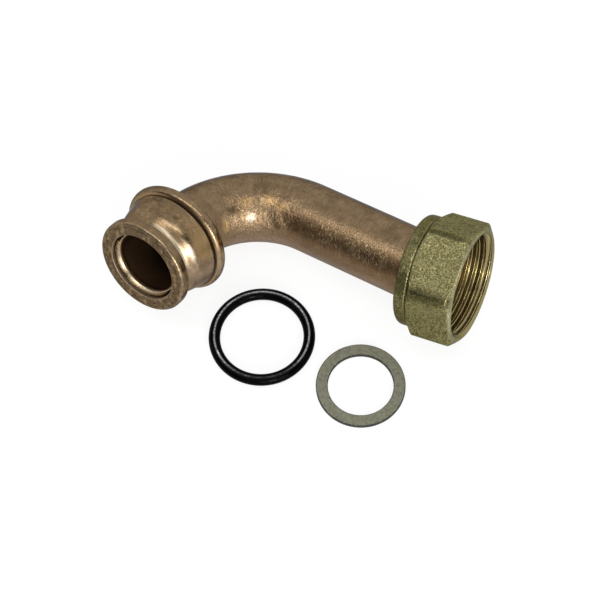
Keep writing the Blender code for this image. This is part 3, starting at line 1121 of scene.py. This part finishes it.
@dataclass
class ElbowTube:
    """Copper tube bent through a right angle, with a plug-in spigot and a union collar."""

    radius: float = 10.995 * MM
    bore: float = 10.0 * MM
    bend: float = 28.8 * MM
    spigot_leg: float = 49.5 * MM
    union_leg: float = 74.8 * MM
    face_point: float = 11.9 * MM
    mouth: float = 11.5 * MM
    mouth_depth: float = 1.3 * MM
    taper: float = 10.7 * MM
    taper_end: float = 2.7 * MM
    taper_step: float = 0.25 * MM
    lip: float = 15.84 * MM
    lip_length: float = 3.4 * MM
    neck: float = 12.7 * MM
    neck_start: float = 4.0 * MM
    neck_end: float = 5.95 * MM
    flare: float = 15.1 * MM
    flare_end: float = 8.9 * MM
    shoulder: float = 16.6 * MM
    shoulder_end: float = 15.0 * MM
    groove: float = 15.7 * MM
    groove_width: float = 0.9 * MM
    bead: float = 18.21 * MM
    bead_length: float = 3.2 * MM
    bead_foot: float = 19.4 * MM
    collar: float = 13.7 * MM
    collar_length: float = 2.0 * MM
    ripple: float = 0.03 * MM
    ripple_reach: float = 20.0
    wrinkles: tuple[Triple, ...] = ((1.7, 2.0, 0.0), (1.1, -3.0, 1.0), (2.6, 4.0, 2.0))
    edge: float = 0.6 * MM
    columns: int = 168

    def place(self) -> Place:
        """Return the axes of the bend: along the union leg, against the spigot leg, and square."""
        face, union = anchor("union_face")
        against = -anchor("spigot_face")[1]
        square = unit(np.cross(union, against))
        origin = face - union * self.union_leg - square * self.face_point
        return Place(origin, np.array([union, np.cross(square, union), square]))

    def length(self) -> float:
        """Return the length of the tube's axis from the lip's face to the collar's."""
        return self.spigot_leg + self.union_leg + (np.pi / 2 - 2) * self.bend

    def outline(self) -> Array:
        """Return the tube's wall as a closed outline of (distance from the lip, radius)."""
        end = self.length()
        bead_start = self.shoulder_end + self.groove_width
        bead_end = bead_start + self.bead_length
        half_bead = self.bead_length / 2
        corners = [
            (0.0, self.mouth, 0.35 * MM),
            (0.0, self.lip, 1.2 * MM),
            (self.lip_length, self.lip, 0.8 * MM),
            (self.neck_start, self.neck, 0.4 * MM),
            (self.neck_end, self.neck, 0.8 * MM),
            (self.flare_end, self.flare, 1.1 * MM),
            (self.shoulder_end, self.shoulder, 0.3 * MM),
            (self.shoulder_end + self.groove_width / 2, self.groove, 0.2 * MM),
            (bead_start, self.bead, half_bead),
            (bead_end, self.bead, half_bead),
            (self.bead_foot, self.radius, 1.0 * MM),
            (end - self.collar_length - 0.2 * MM, self.radius, 0.4 * MM),
            (end - self.collar_length, self.collar, 0.4 * MM),
            (end, self.collar, 0.4 * MM),
            (end, self.bore, 0.25 * MM),
            (self.taper_end + self.taper_step, self.bore, 0.1 * MM),
            (self.taper_end, self.taper, 0.1 * MM),
            (self.mouth_depth, self.mouth, 0.45 * MM),
        ]
        return Profile(corners, steps=9, longest=0.6 * MM).points

    def ripples(self, distance: Array, turn: Array) -> Array:
        """Return how far the skin of the bend dips where bending has wrinkled it.

        Sine waves that cross each other are added, each with a rate per millimetre, a number of
        waves round the tube and a phase. A bell curve about the middle of the bend, with its
        reach in millimetres, fades them out towards the bend's ends.
        """
        along = distance / MM
        waves = sum(np.sin(rate * along + count * turn + phase) for rate, count, phase in self.wrinkles)
        most = len(self.wrinkles)
        middle = (self.spigot_leg + (np.pi / 4 - 1) * self.bend) / MM
        fading = np.exp(-((along - middle) / self.ripple_reach) ** 2)
        return self.ripple * (waves + most) / (2 * most) * fading

    def build(self) -> Object:
        """Carry the wall's outline along the tube's bent axis.

        At a distance s the axis is straight, then turns through s / bend about the bend's
        centre, then is straight again. The point is the axis plus the radius times
        (cos t N + sin t Z), where N points away from the bend's centre and Z is square to it.

        Returns:
            The tube's object.
        """
        distance, radius = (column[:, None] for column in self.outline().T)
        turn = turns(self.columns)[None, :]
        radius = radius - np.where(radius > self.bore, self.ripples(distance, turn), 0)
        spigot_end = self.spigot_leg - self.bend
        angle = np.clip((distance - spigot_end) / self.bend, 0, np.pi / 2)
        before = np.minimum(distance - spigot_end, 0)
        after = np.maximum(distance - spigot_end - self.bend * np.pi / 2, 0)
        reach = self.bend + radius * np.cos(turn)
        x = self.bend - reach * np.cos(angle) + after
        y = -self.bend + reach * np.sin(angle) + before
        z = radius * np.sin(turn)
        straight = grid(distance, radius * np.cos(turn), z)
        return skin(Piece.TUBE, self.place().world(grid(x, y, z)), straight, self.edge)


@dataclass
class UnionNut:
    """Hexagon union nut with a round boss behind and an inside thread in front."""

    flat: float = 17.5 * MM
    corner_round: float = 3.0 * MM
    length: float = 19.0 * MM
    seat: float = 1.5 * MM
    shoulder: float = 3.0 * MM
    relief: float = 5.4 * MM
    bore: float = 12.42 * MM
    bore_chamfer: float = 0.8 * MM
    face_inset: float = 0.15 * MM
    chamfer_slope: float = np.tan(np.radians(30.0))
    boss_length: float = 4.3 * MM
    boss_inset: float = 0.1 * MM
    boss_round: float = 1.8 * MM
    groove: float = 0.3 * MM
    thread_major: float = 16.625 * MM
    thread_minor: float = 15.145 * MM
    pitch: float = 25.4 / 11 * MM
    thread_tip: float = 0.75
    mouth_chamfer: float = 1.0 * MM
    margin: float = 0.01 * MM
    edge: float = 0.5 * MM
    columns: int = 240

    def place(self) -> Place:
        """Return the nut's axes: across a flat, along a flat, and along its own axis."""
        pivot, axis = anchor("nut_spin")
        across = anchor("nut_flat")[1]
        along = unit(np.cross(axis, across))
        return Place(pivot - axis * self.seat, np.array([np.cross(along, axis), along, axis]))

    def hexagon(self, turn: Array) -> Array:
        """Return the radius of the rounded hexagon at angles from the middle of a flat.

        It is flat / cos(t) up to where the corner's round begins, and there the far crossing
        of the ray with the corner's circle.
        """
        part = np.abs((turn + np.pi / 6) % (np.pi / 3) - np.pi / 6)
        centre = (self.flat - self.corner_round) / np.cos(np.pi / 6)
        off = np.pi / 6 - part
        inside = np.clip(self.corner_round ** 2 - (centre * np.sin(off)) ** 2, 0, None)
        rounding = centre * np.cos(off) + np.sqrt(inside)
        start = np.arctan2(centre / 2, self.flat)
        return np.where(part < start, self.flat / np.cos(part), rounding)

    def outline(self) -> Array:
        """Return the nut's turned outline as a closed list of (height, radius)."""
        face = self.flat - self.face_inset
        boss = self.flat - self.boss_inset
        wide = self.flat / np.cos(np.pi / 6)
        chamfer = (wide - face) * self.chamfer_slope
        run_out = self.thread_major - self.thread_minor
        corners = [
            (self.length, self.thread_major, 0.12 * MM),
            (self.length, face, 0.2 * MM),
            (self.length - chamfer, wide, 0.0),
            (self.boss_length + chamfer, wide, 0.0),
            (self.boss_length, face, 0.1 * MM),
            (self.boss_length - self.groove / 2, boss - self.groove, 0.25 * MM),
            (self.boss_length - 1.5 * self.groove, boss, 0.3 * MM),
            (0.0, boss, self.boss_round),
            (0.0, self.bore + self.bore_chamfer, 0.2 * MM),
            (self.bore_chamfer, self.bore, 0.2 * MM),
            (self.shoulder, self.bore, 0.2 * MM),
            (self.shoulder, self.thread_major, 0.3 * MM),
            (self.relief, self.thread_major, 0.2 * MM),
            (self.relief + run_out, self.thread_minor, 0.0),
            (self.length - self.mouth_chamfer, self.thread_minor, 0.0),
        ]
        return Profile(corners, steps=6, longest=0.15 * MM).points

    def thread(self, height: Array, turn: Array) -> Array:
        """Return the radius of the thread's surface.

        It is a triangle wave with rounded tips, arcsin(k sin p) / arcsin(k), between the minor
        and the major radius. The phase p goes round once a pitch along the axis and once a
        turn about it, as on a right-hand thread.
        """
        phase = TURN * height / self.pitch - turn
        wave = np.arcsin(self.thread_tip * np.sin(phase)) / np.arcsin(self.thread_tip)
        middle = (self.thread_major + self.thread_minor) / 2
        return middle + wave * (self.thread_major - self.thread_minor) / 2

    def build(self) -> Object:
        """Turn the outline about the axis, cut to the hexagon outside and threaded inside.

        The point is (r cos t, r sin t, h). Outside, r is the outline's radius or the hexagon's,
        whichever is less. In the thread's length it is the outline's or the thread's, whichever
        is more.

        Returns:
            The nut's object.
        """
        height, radius = (column[:, None] for column in self.outline().T)
        turn = turns(self.columns)[None, :]
        outside = (radius > self.thread_major + self.margin) & (height > self.boss_length)
        cut = smooth_least(radius, self.hexagon(turn), self.edge)
        inside = (radius < self.thread_major) & (height > self.relief)
        threaded = np.maximum(radius, self.thread(height, turn))
        surface = np.where(outside, cut, np.where(inside, threaded, radius))
        local = revolved(surface, turn, height)
        return skin(Piece.NUT, self.place().world(local), local, self.edge)


@dataclass
class SpigotSeal:
    """O-ring of the spigot, lying on the floor."""

    section: float = 3.65 * MM
    edge: float = 0.2 * MM
    rows: int = 48
    columns: int = 256

    def build(self) -> Object:
        """Carry a circle round a circle.

        The point is ((R + r cos p) cos t, (R + r cos p) sin t, r sin p) from the ring's centre.

        Returns:
            The ring's object.
        """
        low, high = (np.array(corner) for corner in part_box(Piece.O_RING.value[0]))
        radius = self.section / 2
        middle = (high[0] - low[0]) / 2 - radius
        tilt = turns(self.rows)[:, None]
        reach = middle + radius * np.cos(tilt)
        local = revolved(reach, turns(self.columns)[None, :], radius * np.sin(tilt))
        return skin(Piece.O_RING, (low + high) / 2 + local, local, self.edge)


@dataclass
class UnionGasket:
    """Flat fibre gasket of the union, lying on the floor."""

    width: float = 3.65 * MM
    rounding: float = 0.3 * MM
    edge: float = 0.2 * MM
    columns: int = 256

    def build(self) -> Object:
        """Turn a flat rectangle with rounded corners about the gasket's upright axis.

        The point is (r cos t, r sin t, h) from the middle of the gasket's lower face.

        Returns:
            The gasket's object.
        """
        low, high = (np.array(corner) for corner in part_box(Piece.GASKET.value[0]))
        centre = np.array([*(low + high)[:2] / 2, low[2]])
        top = high[2] - low[2]
        outer = (high[0] - low[0]) / 2
        inner = outer - self.width
        around = ((0.0, inner), (0.0, outer), (top, outer), (top, inner))
        corners = [(*corner, self.rounding) for corner in around]
        outline = Profile(corners, steps=5, longest=0.3 * MM).points
        height, radius = (column[:, None] for column in outline.T)
        local = revolved(radius, turns(self.columns)[None, :], height)
        return skin(Piece.GASKET, centre + local, local - [0.0, 0.0, top], self.edge)


@dataclass(frozen=True)
class SoftLight:
    """A rectangular studio lamp that faces the object, with one side laid along a direction."""

    name: str
    towards: Triple
    size: Pair
    brightness: float
    side: Triple
    distance: float = 1.0

    def build(self) -> Object:
        """Hang the lamp in its direction from the object, as bright as a share of white."""
        lamp = bpy.data.lights.new(self.name, "AREA")
        lamp.shape = "RECTANGLE"
        lamp.size, lamp.size_y = self.size
        lamp.energy = self.brightness * np.pi * self.size[0] * self.size[1]
        holder = bpy.data.objects.new(self.name, lamp)
        out = Vector(self.towards).normalized()
        side = Vector(self.side)
        side = (side - side.dot(out) * out).normalized()
        turned = Matrix((side, out.cross(side), out)).transposed()
        holder.matrix_world = Matrix.Translation(out * self.distance) @ turned.to_4x4()
        bpy.context.scene.collection.objects.link(holder)
        return holder


@dataclass(frozen=True)
class Shade:
    """A dark part of the room: its middle direction and the cosines at its rim and its core."""

    middle: Triple
    rim: float
    core: float


@dataclass
class Studio:
    """White floor, soft lamps and the camera."""

    image: int = 600
    focal_pixels: float = 1967.7
    sensor: float = 36.0
    aim: Triple = (25.0 * MM, -25.0 * MM, 0.0)
    aim_pixel: Pair = (255.18, 256.08)
    distance: float = 602.5 * MM
    rise: float = np.radians(41.05)
    swing: float = np.radians(35.68)
    floor_half: float = 3.0
    floor_colour: float = 0.95
    floor_glow: float = 0.86
    wall: Colour = (0.955, 0.96, 0.965)
    dark_wall: Colour = (0.09, 0.085, 0.08)
    shades: tuple[Shade, ...] = (
        Shade((-0.552, -0.789, 0.27), 0.79, 0.94),
        Shade((0.684, -0.121, 0.719), 0.95, 0.985),
    )
    lamps: tuple[SoftLight, ...] = (
        SoftLight("overhead_softbox", (-0.09, -0.15, 0.98), (1.1, 0.28), 2.9, (0.98, 0.19, 0.1)),
        SoftLight("front_softbox", (0.623, -0.668, 0.4067), (0.8, 0.8), 2.3, (0.731, 0.682, 0.0)),
        SoftLight("front_bulb", (0.577, -0.688, 0.438), (0.16, 0.16), 26.0, (0.731, 0.682, 0.0), 0.9),
    )
    seen_by: tuple[str, ...] = ("Is Camera Ray", "Is Glossy Ray", "Is Transmission Ray")

    def camera(self, elbow: Place) -> None:
        """Set the camera at its angle to the plane of the bend.

        Args:
            elbow: The axes of the bend.
        """
        sin_r, cos_r = np.sin(self.rise), np.cos(self.rise)
        sin_s, cos_s = np.sin(self.swing), np.cos(self.swing)
        back = np.array([sin_s * cos_r, -cos_s * cos_r, sin_r]) @ elbow.axes
        right = np.array([cos_s, sin_s, 0.0]) @ elbow.axes
        up = np.cross(back, right)
        eye = elbow.world(np.array(self.aim)) + back * self.distance
        lens = bpy.data.cameras.new("camera")
        lens.sensor_width = self.sensor
        lens.lens = self.focal_pixels / self.image * self.sensor
        lens.shift_x = 0.5 - self.aim_pixel[0] / self.image
        lens.shift_y = self.aim_pixel[1] / self.image - 0.5
        holder = bpy.data.objects.new("camera", lens)
        turned = Matrix((right, up, back)).transposed()
        holder.matrix_world = Matrix.Translation(Vector(eye)) @ turned.to_4x4()
        bpy.context.scene.collection.objects.link(holder)
        bpy.context.scene.camera = holder

    def floor(self) -> None:
        """Lay the white floor, which glows to the rays that see it."""
        half = self.floor_half
        mesh = bpy.data.meshes.new("floor")
        corners = [(-half, -half, 0.0), (half, -half, 0.0), (half, half, 0.0), (-half, half, 0.0)]
        mesh.from_pydata(corners, [], [(0, 1, 2, 3)])
        floor = bpy.data.objects.new("floor", mesh)
        bpy.context.scene.collection.objects.link(floor)
        material, graph, shader = new_material("white_floor")
        white = (*[self.floor_colour] * 3, 1.0)
        graph.feed(shader, {"Base Color": white, "Roughness": 1.0, "Specular IOR Level": 0.0})
        path = graph.add("ShaderNodeLightPath").outputs
        seen = Value(graph, path[self.seen_by[0]])
        for ray in self.seen_by[1:]:
            seen = seen.most(Value(graph, path[ray]))
        glow = graph.outputs("ShaderNodeEmission", {"Color": (1.0, 1.0, 1.0, 1.0), "Strength": 1.0})[0]
        feeds = {0: seen * self.floor_glow, 1: Value(graph, shader.outputs[0]), 2: glow}
        both = graph.outputs("ShaderNodeMixShader", feeds)[0]
        graph.feed(material.node_tree.nodes["Material Output"], {"Surface": both})
        mesh.materials.append(material)

    def light(self) -> None:
        """Hang the lamps in a pale room that is dark in places."""
        world = bpy.data.worlds.new("room")
        bpy.context.scene.world = world
        world.use_nodes = True
        graph = Graph(world.node_tree)
        way = graph.outputs("ShaderNodeTexCoord")[0]
        masks = []
        for shade in self.shades:
            near = graph.vector("DOT_PRODUCT", way, shade.middle)[1]
            masks.append(near.span(shade.rim, shade.core))
        dark = masks[0].most(masks[1])
        background = world.node_tree.nodes["Background"]
        graph.feed(background, {"Color": graph.mix(dark, self.wall, self.dark_wall)})
        for lamp in self.lamps:
            lamp.build()


def dress(piece: Piece, solid: Object, material: Material) -> None:
    """Give a piece its material, tie it to its body and hide the imported part that it stands for.

    Args:
        piece: Which piece it is.
        solid: The piece's object.
        material: The piece's material.
    """
    node, body, slot = piece.value
    solid.data.materials.append(material)
    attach(solid, body)
    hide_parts(node)
    LOG.info("%s: %d faces on body %s", solid.name, len(solid.data.polygons), body)


def main() -> None:
    """Build and dress the pieces in order, then set up the studio."""
    logging.basicConfig(level=logging.INFO)
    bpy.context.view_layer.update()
    tube = ElbowTube()
    dress(Piece.TUBE, tube.build(), CopperFinish().material())
    dress(Piece.NUT, UnionNut().build(), BrassFinish().material())
    dress(Piece.O_RING, SpigotSeal().build(), RubberFinish().material())
    dress(Piece.GASKET, UnionGasket().build(), FibreFinish().material())
    studio = Studio()
    studio.floor()
    studio.light()
    studio.camera(tube.place())
    bpy.context.scene.view_settings.view_transform = "Standard"


if __name__ == "__main__":
    main()
